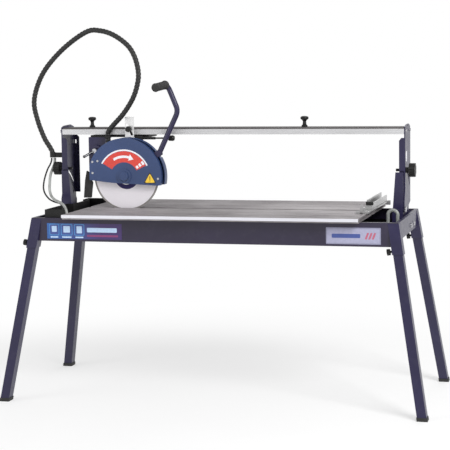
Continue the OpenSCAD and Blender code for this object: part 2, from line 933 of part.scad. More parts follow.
// Slotted bar on the guard that slides past the depth stud
module depth_plate() {
    r = norm([stud[0] - plunge[0], stud[1] - plunge[1]]);
    at = atan2(stud[1] - plunge[1], stud[0] - plunge[0]);
    color("whitesmoke") plate_y(2, 5) difference() {
        translate([-385, 915]) square([34, 90]);
        translate(plunge) arc_slot(r, 4.6, at - 8, at + 6.5);
        translate([hub[0], hub[2]]) circle(r = guard_r + 0.2, $fn = 96);
        translate([hub[0] + 9, hub[2] + 2]) circle(r = guard_r + 0.2, $fn = 96);
    }
}

// Ring under the rail that carries the sleeve along with the carriage
module sleeve_clip() {
    start = sleeve_path[0];
    ring_h = 9;
    bottom = start[2] - ring_h - 0.3;
    color(plastic_black) difference() {
        union() {
            translate([start[0], start[1], bottom]) cylinder(r = 12.5, h = ring_h);
            translate([start[0] - 5, start[1] + 10, bottom + 1.5]) cube([10, 8.9, ring_h - 1.5]);
        }
        translate([start[0], start[1], bottom - eps]) cylinder(r = 10, h = 20);
    }
}

// ---------- spindle ----------

module blade() {
    color([0.85, 0.82, 0.84]) at_hub(-blade_t / 2, blade_t / 2) difference() {
        circle(r = blade_r, $fn = 180);
        circle(r = 8 + run_gap);
    }
}

module blade_clamp() {
    color("silver") {
        at_hub(-6, -blade_t / 2 - 0.02) difference() {
            circle(r = 30);
            circle(r = 8 + run_gap);
        }
        at_hub(blade_t / 2 + 0.02, 6) difference() {
            circle(r = 30);
            circle(r = 8 + run_gap);
        }
        at_hub(-15, -6.02) difference() {
            circle(r = 14, $fn = 6);
            circle(r = 8 + run_gap);
        }
    }
}

module motor_shaft() {
    color("silver") {
        rod_y(8, -18, motor_end + 9.4, hub[0], hub[2]);
        difference() {
            rod_y(11, 6.1, 20, hub[0], hub[2]);
            rod_y(7, 0, 30, hub[0], hub[2]);
        }
    }
}

module rotor() {
    color("dimgray") {
        at_hub(60, 106) difference() {
            circle(r = 28, $fn = 48);
            circle(r = 8 + run_gap);
        }
        at_hub(128, 146) difference() {
            union() {
                circle(r = 14);
                for (i = [0:7]) rotate(45 * i) translate([0, -1.5]) square([42, 3]);
            }
            circle(r = 8 + run_gap);
        }
    }
}

// ---------- fence ----------

fence_x = 495;
fence_z = table_z + 0.2;
fence_pivot = 4;

module fence_base() {
    color("silver") {
        translate([fence_x, -108, fence_z]) cube([41, 438, 4]);
        translate([fence_x + 10, -104, fence_z + 4.1]) cube([14, 34, 14]);
        translate([fence_x + 13, -117, fence_z + 4.1]) cube([8, 12.9, 26]);
    }
    color(plastic_black) {
        translate([fence_x - 4, -118, fence_z]) cube([16, 9.8, 9]);
        translate([fence_x + 22, -118, fence_z]) cube([16, 9.8, 9]);
        translate([fence_x + 22, 330.2, fence_z - 12]) cube([28, 9.8, 16]);
    }
}

module fence_ruler() {
    color(bright) difference() {
        union() {
            translate([fence_x + 13, 20, fence_z + 4.4]) cube([4, 310, 31]);
            translate([fence_x + 33, 20, fence_z + 4.4]) cube([4, 310, 21]);
            translate([fence_x + 13, -14, fence_z + 4.4]) cube([24, 38, 14]);
        }
        translate([fence_x + 25, fence_pivot, fence_z]) cylinder(r = 4 + run_gap, h = 30);
    }
}

module fence_knob() {
    color(plastic_black) translate([fence_x + 25, fence_pivot, fence_z + 4.3]) {
        cylinder(r = 4, h = 15);
        translate([0, 0, 14.5]) difference() {
            cylinder(r = 13, h = 12);
            for (i = [0:7]) rotate(45 * i) translate([14, 0, -eps]) cylinder(r = 2.6, h = 20);
        }
    }
}

// ---------- hoses ----------

module hose_sleeve() {
    color([0.22, 0.22, 0.21]) swept_tube(sleeve_path, 9.5, 10, 3);
}

module pump_cable() {
    color(plastic_black) swept_tube(cable_path, 3, 8, 3);
}

module water_hose() {
    color([0.6, 0.6, 0.6]) swept_tube(water_path, 5, 8, 3);
}

front_panel();
rear_panel();
end_panels();
leg_sockets();
legs();
foot_caps();
leg_screws();
cross_supports();
water_tray();
tray_fittings();
pump();
table_front();
table_rear();
side_brackets();
bracket_bolts();
label_plates();
left_arm();
right_arm();
guide_rail();
rail_screws();
hose_clip();
left_clamp_knob();
right_clamp_knob();
left_stop_knob();
right_stop_knob();
carriage_beam();
carriage_plate();
plunge_pin();
lock_body();
sleeve_clip();
left_rollers();
right_rollers();
lock_knob();
depth_knob();
plunge_lever();
guard_front();
guard_rear();
guard_screws();
head_arm();
motor_housing();
motor_cap();
stator();
bearings();
switch_box();
start_button();
stop_button();
handle_tube();
grip();
splash_flap();
depth_plate();
blade();
blade_clamp();
motor_shaft();
rotor();
fence_base();
fence_ruler();
fence_knob();
hose_sleeve();
pump_cable();
water_hose();
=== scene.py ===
"""Looks of the wet tile saw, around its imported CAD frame. Lengths are in metres, +X along the rail, +Z up."""
from math import cos, pi, radians, sin

import bmesh
import bpy
from mathutils import Matrix, Vector

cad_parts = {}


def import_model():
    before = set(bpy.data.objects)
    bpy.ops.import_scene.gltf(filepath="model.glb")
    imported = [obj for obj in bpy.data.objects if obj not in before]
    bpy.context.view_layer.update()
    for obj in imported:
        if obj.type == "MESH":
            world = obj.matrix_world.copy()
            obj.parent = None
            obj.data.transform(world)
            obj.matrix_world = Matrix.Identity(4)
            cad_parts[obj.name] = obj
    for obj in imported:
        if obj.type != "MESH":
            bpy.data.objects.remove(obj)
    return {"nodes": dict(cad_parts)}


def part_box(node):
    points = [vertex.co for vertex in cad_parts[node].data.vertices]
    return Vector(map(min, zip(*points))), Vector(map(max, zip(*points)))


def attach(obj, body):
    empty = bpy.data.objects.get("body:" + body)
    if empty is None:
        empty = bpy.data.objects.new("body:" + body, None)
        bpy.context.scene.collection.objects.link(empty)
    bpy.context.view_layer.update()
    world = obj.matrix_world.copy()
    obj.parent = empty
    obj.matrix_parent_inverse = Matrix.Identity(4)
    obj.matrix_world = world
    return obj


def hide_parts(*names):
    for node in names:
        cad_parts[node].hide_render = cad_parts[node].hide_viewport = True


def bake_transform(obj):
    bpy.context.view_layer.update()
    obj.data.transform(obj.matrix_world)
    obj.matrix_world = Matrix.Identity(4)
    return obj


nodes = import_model()["nodes"]
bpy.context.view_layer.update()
collection = bpy.context.scene.collection

MM = 0.001

# ---------------------------------------------------------------- camera

CAMERA_PLACE = (1.3675, -5.1076, 1.1967)
CAMERA_YAW = radians(14.9)       # turned to the left of straight ahead
CAMERA_PITCH = radians(6.3)      # looking down
CAMERA_ROLL = radians(-0.8)
LENS = 117.2                     # mm
SENSOR_WIDTH = 36                # mm
SHIFT = (-0.0105, -0.001)
FAR_CLIP = 100


def make_camera():
    camera = bpy.data.objects.new("camera", bpy.data.cameras.new("camera"))
    collection.objects.link(camera)
    forward = Vector((-sin(CAMERA_YAW) * cos(CAMERA_PITCH),
                      cos(CAMERA_YAW) * cos(CAMERA_PITCH),
                      -sin(CAMERA_PITCH)))
    level = Vector((cos(CAMERA_YAW), sin(CAMERA_YAW), 0))
    up = level.cross(forward)
    right = cos(CAMERA_ROLL) * level + sin(CAMERA_ROLL) * up
    up = -sin(CAMERA_ROLL) * level + cos(CAMERA_ROLL) * up
    turn = Matrix((right, up, -forward)).transposed().to_4x4()
    camera.matrix_world = Matrix.Translation(CAMERA_PLACE) @ turn
    camera.data.sensor_width = SENSOR_WIDTH
    camera.data.lens = LENS
    camera.data.shift_x, camera.data.shift_y = SHIFT
    camera.data.clip_end = FAR_CLIP
    bpy.context.scene.camera = camera


make_camera()

# ---------------------------------------------------------------- materials


class Nodes:
    """A material under construction: short calls that add a shader node and link it."""

    def __init__(self, name):
        self.material = bpy.data.materials.new(name)
        self.material.use_nodes = True
        self.tree = self.material.node_tree
        self.shader = self.tree.nodes["Principled BSDF"]
        self.place = self.add("ShaderNodeTexCoord").outputs["Object"]

    def add(self, kind, **settings):
        node = self.tree.nodes.new(kind)
        for key, value in settings.items():
            setattr(node, key, value)
        return node

    def link(self, source, target):
        self.tree.links.new(source, target)

    def set(self, **values):
        for key, value in values.items():
            self.shader.inputs[key.replace("_", " ")].default_value = value

    def stretch(self, scale):
        mapping = self.add("ShaderNodeMapping")
        mapping.inputs["Scale"].default_value = scale
        self.link(self.place, mapping.inputs["Vector"])
        return mapping.outputs["Vector"]

    def noise(self, scale, detail=3.0, stretch=None, roughness=0.5):
        noise = self.add("ShaderNodeTexNoise")
        noise.inputs["Scale"].default_value = scale
        noise.inputs["Detail"].default_value = detail
        noise.inputs["Roughness"].default_value = roughness
        self.link(self.stretch(stretch) if stretch else self.place, noise.inputs["Vector"])
        return noise.outputs["Fac"]

    def ramp(self, factor, *stops):
        ramp = self.add("ShaderNodeValToRGB")
        while len(ramp.color_ramp.elements) < len(stops):
            ramp.color_ramp.elements.new(0.5)
        for element, (position, colour) in zip(ramp.color_ramp.elements, stops):
            element.position = position
            element.color = (*colour, 1)
        self.link(factor, ramp.inputs["Fac"])
        return ramp.outputs["Color"]

    def range(self, factor, low, high):
        spread = self.add("ShaderNodeMapRange")
        spread.inputs["To Min"].default_value = low
        spread.inputs["To Max"].default_value = high
        self.link(factor, spread.inputs["Value"])
        return spread.outputs["Result"]

    def math(self, operation, a, b=0.0):
        node = self.add("ShaderNodeMath", operation=operation)
        for socket, value in zip(node.inputs, (a, b)):
            if isinstance(value, (int, float)):
                socket.default_value = value
            else:
                self.link(value, socket)
        return node.outputs[0]

    def mix(self, factor, a, b):
        node = self.add("ShaderNodeMix", data_type="RGBA")
        for socket, value in ((node.inputs[0], factor), (node.inputs[6], a), (node.inputs[7], b)):
            if isinstance(value, tuple):
                socket.default_value = (*value, 1)
            elif isinstance(value, (int, float)):
                socket.default_value = value
            else:
                self.link(value, socket)
        return node.outputs[2]

    def axes(self):
        split = self.add("ShaderNodeSeparateXYZ")
        self.link(self.place, split.inputs[0])
        return split.outputs

    def bump(self, height, strength, distance):
        bump = self.add("ShaderNodeBump")
        bump.inputs["Strength"].default_value = strength
        bump.inputs["Distance"].default_value = distance
        self.link(height, bump.inputs["Height"])
        self.link(bump.outputs["Normal"], self.shader.inputs["Normal"])

    def colour(self, source):
        self.link(source, self.shader.inputs["Base Color"])

    def rough(self, source):
        self.link(source, self.shader.inputs["Roughness"])


def shade(colour, factor):
    return tuple(c * factor for c in colour)


DUST = (0.30, 0.29, 0.32)


def paint(name, colour, roughness=0.34, dusty=0.05):
    """Powder coat: orange peel, a little cloudiness and a film of stone dust."""
    m = Nodes(name)
    cloud = m.ramp(m.noise(7, 4), (0.3, shade(colour, 0.84)), (0.7, shade(colour, 1.14)))
    dust = m.range(m.noise(38, 6, roughness=0.7), -dusty, dusty)
    m.colour(m.mix(m.math("MAXIMUM", dust, 0.0), cloud, DUST))
    m.rough(m.range(m.noise(60, 3), roughness - 0.06, roughness + 0.12))
    m.set(Coat_Weight=0.10, Coat_Roughness=0.22)
    m.bump(m.noise(900, 2), 0.10, 0.0004)
    return m.material


def plastic(name, colour, roughness=0.45, shine=0.5):
    """Moulded plastic with a fine grain. shine is how strongly it mirrors."""
    m = Nodes(name)
    m.set(Specular_IOR_Level=shine)
    m.colour(m.ramp(m.noise(45, 4), (0.3, shade(colour, 0.75)), (0.75, shade(colour, 1.35))))
    m.rough(m.range(m.noise(120, 3), roughness - 0.08, roughness + 0.12))
    m.bump(m.noise(1400, 2), 0.22, 0.0005)
    return m.material


def rubber(name, colour, roughness=0.7):
    """Rubber or soft plastic: coarser and duller than the moulded plastic."""
    m = Nodes(name)
    m.colour(m.ramp(m.noise(60, 5), (0.3, shade(colour, 0.8)), (0.75, shade(colour, 1.5))))
    m.rough(m.range(m.noise(90, 3), roughness - 0.1, roughness + 0.1))
    m.bump(m.noise(700, 3), 0.3, 0.0006)
    return m.material


def drawn_metal(name, colour, along=(1, 0, 0), roughness=0.32, metallic=0.9, streak=0.16):
    """Metal with fine lines along one axis, as extruding, brushing or grinding leaves."""
    m = Nodes(name)
    fine = tuple(1.0 if a else 60.0 for a in along)
    lines = m.noise(14, 4, stretch=fine)
    cloud = m.noise(5, 3)
    tone = m.math("ADD", m.math("MULTIPLY", lines, 0.6), m.math("MULTIPLY", cloud, 0.4))
    m.colour(m.ramp(tone, (0.3, shade(colour, 1 - streak)), (0.7, shade(colour, 1 + streak))))
    m.rough(m.range(lines, roughness - 0.08, roughness + 0.14))
    m.set(Metallic=metallic)
    m.bump(lines, 0.12, 0.0002)
    return m.material


def extruded(name, axis, limit, near, past, bump=0.12):
    """Drawn aluminium along X whose look changes past a plane: the coordinate on one axis equal to limit. The
    change is painted light: one side of the plane is painted lighter or darker than the other for how the light
    falls on it.

    near and past each hold two colours, a metallic share and a roughness."""
    m = Nodes(name)
    lines = m.noise(14, 4, stretch=(1.0, 60.0, 60.0))
    cloud = m.noise(4, 3)
    tone = m.math("ADD", m.math("MULTIPLY", lines, 0.6), m.math("MULTIPLY", cloud, 0.4))
    tone = m.range(tone, -1.1, 2.1)
    # painted light: past the plane the colour, metallic share and roughness change, as the light falls
    # differently there
    painted_light_side = m.math("GREATER_THAN", m.axes()[axis], limit)
    m.colour(m.mix(painted_light_side, m.mix(tone, near[0], near[1]), m.mix(tone, past[0], past[1])))
    m.link(m.range(painted_light_side, near[2], past[2]), m.shader.inputs["Metallic"])
    m.rough(m.math("ADD", m.range(painted_light_side, near[3], past[3]), m.range(lines, -0.08, 0.12)))
    m.bump(lines, bump, 0.0001)
    return m.material


def zinc(name, colour=(0.60, 0.60, 0.62)):
    """Plated steel with a faint spangle."""
    m = Nodes(name)
    spangle = m.add("ShaderNodeTexVoronoi")
    spangle.inputs["Scale"].default_value = 420
    m.link(m.place, spangle.inputs["Vector"])
    share = m.math("MULTIPLY", spangle.outputs["Distance"], 0.8)
    m.colour(m.mix(share, shade(colour, 0.85), shade(colour, 1.15)))
    m.rough(m.range(m.noise(200, 3), 0.22, 0.42))
    m.set(Metallic=1.0)
    m.bump(m.noise(500, 2), 0.08, 0.0003)
    return m.material


def from_axis(m, centre):
    """Distance of a point from a line along Y through centre (x, z)."""
    x, _, z = m.axes()
    dx = m.math("SUBTRACT", x, centre[0])
    dz = m.math("SUBTRACT", z, centre[1])
    return m.math("SQRT", m.math("ADD", m.math("MULTIPLY", dx, dx), m.math("MULTIPLY", dz, dz)))


BLADE_PRINT = (0.020, 0.014, 0.10)
BLADE_PRINT_R = 0.047
RIM_WIDTH = 0.0065


def blade_metal(name, centre, radius):
    """Ground steel disc with turning marks, a printed middle and a darker sintered diamond rim."""
    m = Nodes(name)
    far = from_axis(m, centre)
    rings = m.add("ShaderNodeTexNoise", noise_dimensions="1D")
    rings.inputs["Scale"].default_value = 900
    m.link(far, rings.inputs["W"])
    steel = m.ramp(rings.outputs["Fac"], (0.3, (0.80, 0.77, 0.81)), (0.7, (0.90, 0.87, 0.91)))
    grit = m.ramp(m.noise(1500, 4), (0.35, (0.16, 0.15, 0.15)), (0.7, (0.42, 0.40, 0.38)))
    rim = m.math("GREATER_THAN", far, radius - RIM_WIDTH)
    disc = m.math("LESS_THAN", far, BLADE_PRINT_R)
    m.colour(m.mix(rim, m.mix(disc, steel, BLADE_PRINT), grit))
    m.rough(m.range(rings.outputs["Fac"], 0.42, 0.58))
    m.set(Metallic=0.4)
    m.bump(rings.outputs["Fac"], 0.05, 0.0002)
    return m.material


def coil_copper(name):
    """Wound copper wire."""
    m = Nodes(name)
    wires = m.add("ShaderNodeTexWave", wave_type="BANDS", bands_direction="Y")
    wires.inputs["Scale"].default_value = 260
    m.link(m.place, wires.inputs["Vector"])
    m.colour(m.ramp(wires.outputs["Fac"], (0.2, (0.30, 0.10, 0.04)), (0.8, (0.75, 0.34, 0.16))))
    m.set(Metallic=0.8, Roughness=0.35)
    m.bump(wires.outputs["Fac"], 0.4, 0.0006)
    return m.material


def flat_print(name, colour):
    """Printed foil: an even colour with faint mottling."""
    m = Nodes(name)
    m.colour(m.ramp(m.noise(160, 3), (0.3, shade(colour, 0.93)), (0.7, shade(colour, 1.05))))
    m.rough(m.range(m.noise(90, 2), 0.30, 0.43))
    m.set(Coat_Weight=0.3, Coat_Roughness=0.15)
    return m.material


def faded_print(name, left, right, from_x, to_x):
    """Printed foil whose colour changes from left to right."""
    m = Nodes(name)
    spread = m.add("ShaderNodeMapRange")
    spread.inputs["From Min"].default_value = from_x
    spread.inputs["From Max"].default_value = to_x
    m.link(m.axes()[0], spread.inputs["Value"])
    m.colour(m.mix(spread.outputs["Result"], left, right))
    m.rough(m.range(m.noise(90, 2), 0.30, 0.43))
    m.set(Coat_Weight=0.3, Coat_Roughness=0.15)
    return m.material


hub_low, hub_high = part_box("blade")
HUB = (hub_low + hub_high) / 2
BLADE_R = (hub_high.x - hub_low.x) / 2

NAVY = (0.013, 0.010, 0.046)
BLUE = (0.026, 0.052, 0.145)
navy = paint("navy_paint", NAVY)
# painted light: a lighter, greyer copy of the navy paint for the long front and rear panels, for how the light
# falls on them
navy_lit_for_panels = paint("navy_paint_lit_for_panels", (0.017, 0.012, 0.035))
blue = paint("blue_paint", BLUE, 0.36, 0.04)
dark_paint = paint("dark_grey_paint", (0.05, 0.05, 0.055), 0.4)
TABLE_HIGHLIGHT_DEPTH = 0.0012      # depth of the table's front face, painted brighter than the top as a painted highlight
RAIL_SHADE_HEIGHT = 0.0046      # height of the rail's top band, painted dark as painted shade
# painted highlight: the table's front face gets pale colours and its top darker ones, for how the light falls
# on them
table_metal_lit_front = extruded("table_aluminium", 1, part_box("table_front")[0].y + TABLE_HIGHLIGHT_DEPTH,
                       ((0.70, 0.70, 0.75), (0.84, 0.84, 0.90), 0.6, 0.35),
                       ((0.16, 0.14, 0.15), (0.60, 0.57, 0.58), 0.75, 0.50))
# painted shade: the rail's top band gets near-black colours, little metallic share and more roughness; the
# front face below it stays light
rail_metal_shaded_top = extruded("rail_aluminium_shaded_top", 2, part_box("guide_rail")[1].z - RAIL_SHADE_HEIGHT,
                      ((0.50, 0.50, 0.51), (0.66, 0.66, 0.67), 0.5, 0.36),
                      ((0.055, 0.050, 0.052), (0.11, 0.10, 0.10), 0.1, 0.62), bump=0.02)
bright_metal = drawn_metal("bright_aluminium", (0.52, 0.52, 0.52), along=(0, 1, 0), metallic=0.75, streak=0.3)
plate_metal = drawn_metal("plate_steel", (0.80, 0.80, 0.80), along=(0, 0, 1), metallic=0.6)
steel = zinc("zinc_steel")
dark_steel = zinc("dark_steel", (0.13, 0.13, 0.135))
black = plastic("black_plastic", (0.011, 0.011, 0.011), shine=0.3)
grey_plastic = plastic("grey_plastic", (0.22, 0.23, 0.22), 0.38)
green = plastic("green_plastic", (0.02, 0.24, 0.06), 0.3)
red = plastic("red_plastic", (0.50, 0.02, 0.015), 0.3)
soft_black = rubber("black_rubber", (0.016, 0.016, 0.016))
sleeve_black = rubber("sleeve_plastic", (0.010, 0.010, 0.0095), 0.55)
hose_grey = plastic("hose_plastic", (0.34, 0.35, 0.34), 0.3)
blade_mat = blade_metal("blade_steel", (HUB.x, HUB.z), BLADE_R)
copper = coil_copper("copper_coils")
iron = drawn_metal("rotor_iron", (0.20, 0.20, 0.22), along=(0, 0, 1), metallic=0.9, roughness=0.45)
white_print = flat_print("white_print", (0.80, 0.80, 0.84))
red_print = flat_print("red_print", (0.62, 0.045, 0.03))
yellow_print = flat_print("yellow_print", (0.85, 0.55, 0.03))
black_print = flat_print("black_print", (0.02, 0.02, 0.02))
label_blue = faded_print("label_blue", (0.020, 0.10, 0.34), (0.040, 0.016, 0.110), -0.600, -0.400)
label_light = flat_print("label_light_blue", (0.060, 0.260, 0.560))
label_grey = flat_print("label_grey", (0.24, 0.24, 0.34))
label_red = flat_print("label_red", (0.20, 0.03, 0.13))
label_pale = flat_print("label_pale", (0.45, 0.60, 0.80))
label_lilac = flat_print("label_lilac", (0.33, 0.33, 0.46))
label_ink = flat_print("label_ink", (0.04, 0.07, 0.26))
label_mark = flat_print("label_mark", (0.42, 0.10, 0.16))

# ---------------------------------------------------------------- mesh building


def piece(name, mesh, material, body, slot=None, replaces=()):
    """Makes a mesh an object with its material and body; its slot argument is not used."""
    obj = bpy.data.objects.new(name, mesh)
    collection.objects.link(obj)
    obj.data.materials.append(material)
    if body:
        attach(obj, body)
    if replaces:
        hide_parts(*replaces)
    return obj


def to_mesh(name, bm, angle=35):
    """A mesh with outward faces, smooth up to an angle in degrees between them."""
    bmesh.ops.recalc_face_normals(bm, faces=bm.faces)
    mesh = bpy.data.meshes.new(name)
    bm.to_mesh(mesh)
    bm.free()
    mesh.shade_smooth()
    mesh.set_sharp_from_angle(angle=radians(angle))
    return mesh


def soften(obj, width):
    """Rounds an object's sharp edges with a bevel modifier."""
    bevel = obj.modifiers.new("soft_edges", "BEVEL")
    bevel.width = width
    bevel.segments = 2
    bevel.limit_method = "ANGLE"
    bevel.angle_limit = radians(30)
    bevel.harden_normals = True
    return obj


def add_loft(bm, rings):
    """Joins rings of points with quads and caps the ends."""
    made = [[bm.verts.new(p) for p in ring] for ring in rings]
    n = len(made[0])
    for a, b in zip(made, made[1:]):
        for i in range(n):
            j = (i + 1) % n
            bm.faces.new((a[i], a[j], b[j], b[i]))
    bm.faces.new(list(reversed(made[0])))
    bm.faces.new(made[-1])


def add_plate(bm, outline, low, high, axis="y"):
    """An outline in the other two axes, given a thickness along one axis."""
    def at(p, d):
        if axis == "y":
            return Vector((p[0], d, p[1]))
        if axis == "x":
            return Vector((d, p[0], p[1]))
        return Vector((p[0], p[1], d))
    add_loft(bm, [[at(p, low) for p in outline], [at(p, high) for p in outline]])


def lathe(name, start, direction, profile, material, body, segments, **more):
    """Turns a profile of (distance along, radius) about an axis."""
    d = Vector(direction).normalized()
    a = d.orthogonal().normalized()
    b = d.cross(a)
    rings = []
    for along, radius in profile:
        ring = []
        for i in range(segments):
            t = 2 * pi * i / segments
            ring.append(Vector(start) + d * along + radius * (cos(t) * a + sin(t) * b))
        rings.append(ring)
    bm = bmesh.new()
    add_loft(bm, rings)
    return piece(name, to_mesh(name, bm, 40), material, body, **more)


def curve_points(points, per_span):
    """A smooth curve through given points, as in the CAD model's hoses."""
    points = [Vector(p) for p in points]
    out = []
    for i in range(len(points) - 1):
        a, b = points[max(i - 1, 0)], points[i]
        c, d = points[i + 1], points[min(i + 2, len(points) - 1)]
        for k in range(per_span):
            s = k / per_span
            out.append(0.5 * (2 * b + (c - a) * s + (2 * a - 5 * b + 4 * c - d) * s ** 2
                              + (3 * b - 3 * c + d - a) * s ** 3))
    return out + [points[-1]]


def even_points(points, step):
    """The same line with points at equal steps."""
    lengths = [0.0]
    for a, b in zip(points, points[1:]):
        lengths.append(lengths[-1] + (b - a).length)
    count = max(2, round(lengths[-1] / step))
    out, k = [], 0
    for i in range(count + 1):
        want = lengths[-1] * i / count
        while k < len(points) - 2 and lengths[k + 1] < want:
            k += 1
        span = lengths[k + 1] - lengths[k]
        out.append(points[k].lerp(points[k + 1], (want - lengths[k]) / span if span else 0))
    return out


def tube(name, line, radius, material, body, sides, section=None, **more):
    """Sweeps a ring along a line without twisting it. section(angle, distance) scales the radius."""
    rings, far = [], 0.0
    across = None
    for i, p in enumerate(line):
        ahead = (line[min(i + 1, len(line) - 1)] - line[max(i - 1, 0)]).normalized()
        if across is None:
            across = ahead.orthogonal().normalized()
        across = (across - ahead * across.dot(ahead)).normalized()
        other = ahead.cross(across)
        if i:
            far += (p - line[i - 1]).length
        ring = []
        for k in range(sides):
            t = 2 * pi * k / sides
            s = section(t, far) if section else 1.0
            ring.append(p + radius * s * (cos(t) * across + sin(t) * other))
        rings.append(ring)
    bm = bmesh.new()
    add_loft(bm, rings)
    return piece(name, to_mesh(name, bm, 60), material, body, **more)


def arc(cx, cz, radius, start, end, steps):
    """Points of an arc in degrees, counted from +X towards +Z."""
    return [
        (cx + radius * cos(radians(start + (end - start) * i / steps)),
         cz + radius * sin(radians(start + (end - start) * i / steps)))
        for i in range(steps + 1)
    ]


def ring_part(cx, cz, inner, outer, start, end, steps=40):
    """Outline of a part of a flat ring between two angles in degrees."""
    return arc(cx, cz, outer, start, end, steps) + arc(cx, cz, inner, end, start, steps)


# ---------------------------------------------------------------- free hoses

# Routes in millimetres, along the CAD model's sleeve, cable and hose.
SLEEVE = [
    (-455, 11, 937), (-454, 11, 947), (-434, 0, 970), (-385, -15, 1016), (-345, -24, 1070),
    (-325, -27, 1120), (-320, -25, 1165), (-335, -16, 1220), (-365, -8, 1265),
    (-420, 0, 1303), (-475, 10, 1320), (-530, 18, 1318), (-615, 28, 1268), (-690, 35, 1200),
    (-735, 42, 1135), (-758, 46, 1060), (-747, 50, 990), (-724, 54, 925), (-703, 55, 890),
    (-691, 55, 866), (-690, 55, 852),
]
CABLE = [
    (-697, 54, 850), (-697, 54, 842), (-701, 50, 827), (-704, 30, 810), (-704, 6, 788),
    (-703, -14, 765), (-699, -30, 742), (-688, -42, 722), (-664, -60, 704),
    (-635, -80, 696), (-606, -98, 691), (-590, -120, 675), (-588, -146, 655), (-590, -165, 642),
]
WATER = [
    (-686, 58, 850), (-686, 58, 842), (-687, 57, 829), (-688, 42, 813), (-687, 14, 790),
    (-680, -14, 762), (-674, -32, 738), (-660, -52, 716), (-632, -85, 704),
    (-600, -120, 699), (-573, -152, 691), (-555, -176, 677), (-548, -187, 660), (-548, -190, 643),
]
SLEEVE_END = [(-455, 11, 937), (-455, 11.5, 927), (-455, 14, 916), (-456, 18, 905), (-456, 19.4, 895)]
SLEEVE_R = 0.0095
WRAP_PITCH = 0.0135              # along the sleeve, from one turn of its spiral band to the next
WRAP_DEPTH = 0.0016
WRAP_STEP = WRAP_PITCH / 9
CABLE_R = 0.003
WATER_R = 0.005
HOSE_STEP = 0.004
SPAN_POINTS = 12                 # points of a curve between two points of its route


def route(points):
    """The smooth line along a route."""
    return curve_points([Vector(p) * MM for p in points], SPAN_POINTS)


def wrapped(angle, far):
    """Share of the sleeve's radius left by the groove between the turns of its spiral band."""
    return 1 - WRAP_DEPTH / SLEEVE_R * (0.5 + 0.5 * cos(2 * pi * far / WRAP_PITCH - angle)) ** 6


def hoses():
    """The sleeve, its short end at the saw head, the pump's cable and its hose, as curved tubes that cross the
    joints.
    """
    line = even_points(route(SLEEVE), WRAP_STEP)
    sleeve = tube("sleeve", line, SLEEVE_R, sleeve_black, None, 24, section=wrapped, slot="hose_rubber",
                  replaces=["hose_sleeve"])
    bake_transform(sleeve)
    end = even_points(route(SLEEVE_END), WRAP_STEP)
    stub = tube("sleeve_end", end, SLEEVE_R, sleeve_black, None, 24, section=wrapped, slot="hose_rubber")
    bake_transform(stub)
    for name, points, radius, material, slot, node, stiffness in (
        ("cable", CABLE, CABLE_R, soft_black, "black_rubber", "pump_cable", "limp"),
        ("water_line", WATER, WATER_R, hose_grey, "clear_hose", "water_hose", "medium"),
    ):
        line = even_points(route(points), HOSE_STEP)
        hose = tube(name, line, radius, material, None, 16, slot=slot, replaces=[node])
        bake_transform(hose)


hoses()

# ---------------------------------------------------------------- CAD nodes that show


def dress(name, material, edge):
    """Gives a CAD node its material and, unless edge is 0, soft edges of that width."""
    obj = nodes[name]
    if not obj.material_slots:
        obj.data.materials.append(None)
    for place in obj.material_slots:
        place.link = "OBJECT"
        place.material = material
    if edge:
        soften(obj, edge)


# The front and rear panels take the lighter navy copy, which is painted light.
for name, material, edge in (
    ("front_panel", navy_lit_for_panels, 0.0012), ("rear_panel", navy_lit_for_panels, 0.0012), ("end_panels", navy, 0.0010),
    ("leg_sockets", navy, 0.0012), ("legs", navy, 0.0015), ("foot_caps", soft_black, 0.0015),
    ("leg_screws", black, 0.0008), ("cross_supports", dark_paint, 0.0010), ("water_tray", black, 0.0010),
    ("tray_fittings", grey_plastic, 0.0006), ("pump", black, 0.0012), ("table_front", table_metal_lit_front, 0.0003),
    ("table_rear", table_metal_lit_front, 0.0003), ("side_brackets", navy, 0.0008), ("bracket_bolts", steel, 0.0006),
    ("label_plates", label_blue, 0.0002), ("left_arm", navy, 0.0010), ("right_arm", navy, 0.0010),
    ("guide_rail", rail_metal_shaded_top, 0.0008), ("rail_screws", steel, 0.0006), ("hose_clip", black, 0.0008),
    ("left_clamp_knob", black, 0.0010), ("right_clamp_knob", black, 0.0010),
    ("left_stop_knob", black, 0.0008), ("right_stop_knob", black, 0.0008),
    ("carriage_beam", black, 0.0008), ("carriage_plate", navy, 0.0008), ("plunge_pin", steel, 0.0006),
    ("lock_body", black, 0.0006), ("left_rollers", steel, 0.0004), ("right_rollers", steel, 0.0004),
    ("lock_knob", black, 0.0005), ("depth_knob", black, 0.0005), ("plunge_lever", dark_steel, 0.0005),
    ("guard_front", blue, 0.0016), ("guard_rear", blue, 0.0016), ("guard_screws", steel, 0.0004),
    ("head_arm", navy, 0.0010), ("motor_housing", blue, 0.0008), ("motor_cap", black, 0.0008),
    ("stator", copper, 0), ("bearings", steel, 0.0003), ("switch_box", black, 0.0015),
    ("start_button", green, 0.0010), ("stop_button", red, 0.0010),
    ("splash_flap", soft_black, 0.0008), ("depth_plate", plate_metal, 0.0003),
    ("sleeve_clip", black, 0.0006), ("blade", blade_mat, 0.0002), ("blade_clamp", steel, 0.0005),
    ("motor_shaft", steel, 0.0005), ("rotor", iron, 0.0004), ("fence_base", bright_metal, 0.0003),
    ("fence_ruler", bright_metal, 0.0004), ("fence_knob", black, 0.0006),
):
    dress(name, material, edge)

# ---------------------------------------------------------------- handle and grip

